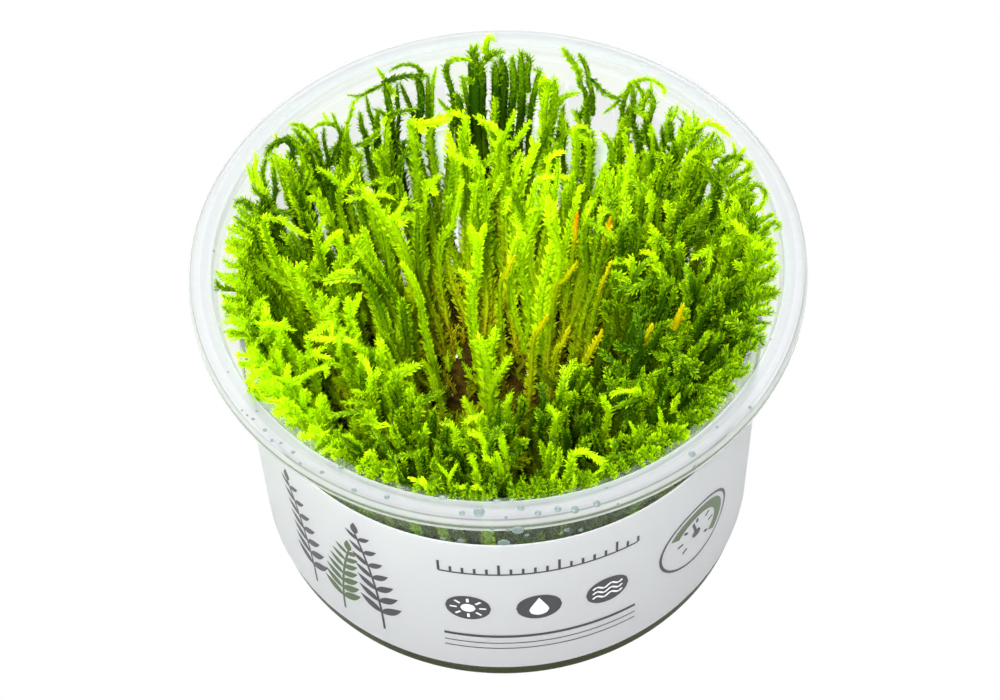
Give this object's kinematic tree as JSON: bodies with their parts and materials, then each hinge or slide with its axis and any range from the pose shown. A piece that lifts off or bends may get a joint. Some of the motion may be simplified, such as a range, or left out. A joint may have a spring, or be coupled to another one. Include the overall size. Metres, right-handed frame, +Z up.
{
  "type": "moss tissue culture cup",
  "caption": "Shallow round clear tub with a flanged rim and a paper wrap, filled with upright feathery green moss growing on a gel bed.",
  "frame": {"origin": "middle of the foot that the cup stands on", "axes": "+Z up along the cup's axis, +Y away from the picture's viewer, +X to the picture's right"},
  "size_m": [0.104, 0.104, 0.0647],
  "materials": {
    "clear_plastic": "clear moulded polypropylene, satin gloss",
    "paper_wrap": "smooth coated paper",
    "gel": "wet translucent olive gel",
    "old_growth": "wet matted brown stems",
    "green_moss": "soft leafy shoots, bright yellow-green to dark green"
  },
  "bodies": {
    "root": {"cup": "clear_plastic", "label_wrap": "paper_wrap", "nutrient_gel": "gel", "old_growth_mat": "old_growth", "moss_tuft_outer_01": "green_moss", "moss_tuft_outer_02": "green_moss", "moss_tuft_outer_03": "green_moss", "moss_tuft_outer_04": "green_moss", "moss_tuft_outer_05": "green_moss", "moss_tuft_outer_06": "green_moss", "moss_tuft_outer_07": "green_moss", "moss_tuft_outer_08": "green_moss", "moss_tuft_outer_09": "green_moss", "moss_tuft_outer_10": "green_moss", "moss_tuft_outer_11": "green_moss", "moss_tuft_outer_12": "green_moss", "moss_tuft_middle_01": "green_moss", "moss_tuft_middle_02": "green_moss", "moss_tuft_middle_03": "green_moss", "moss_tuft_middle_04": "green_moss", "moss_tuft_middle_05": "green_moss", "moss_tuft_middle_06": "green_moss", "moss_tuft_middle_07": "green_moss", "moss_tuft_middle_08": "green_moss", "moss_tuft_inner_01": "green_moss", "moss_tuft_inner_02": "green_moss", "moss_tuft_inner_03": "green_moss"}
  },
  "joints": []
}
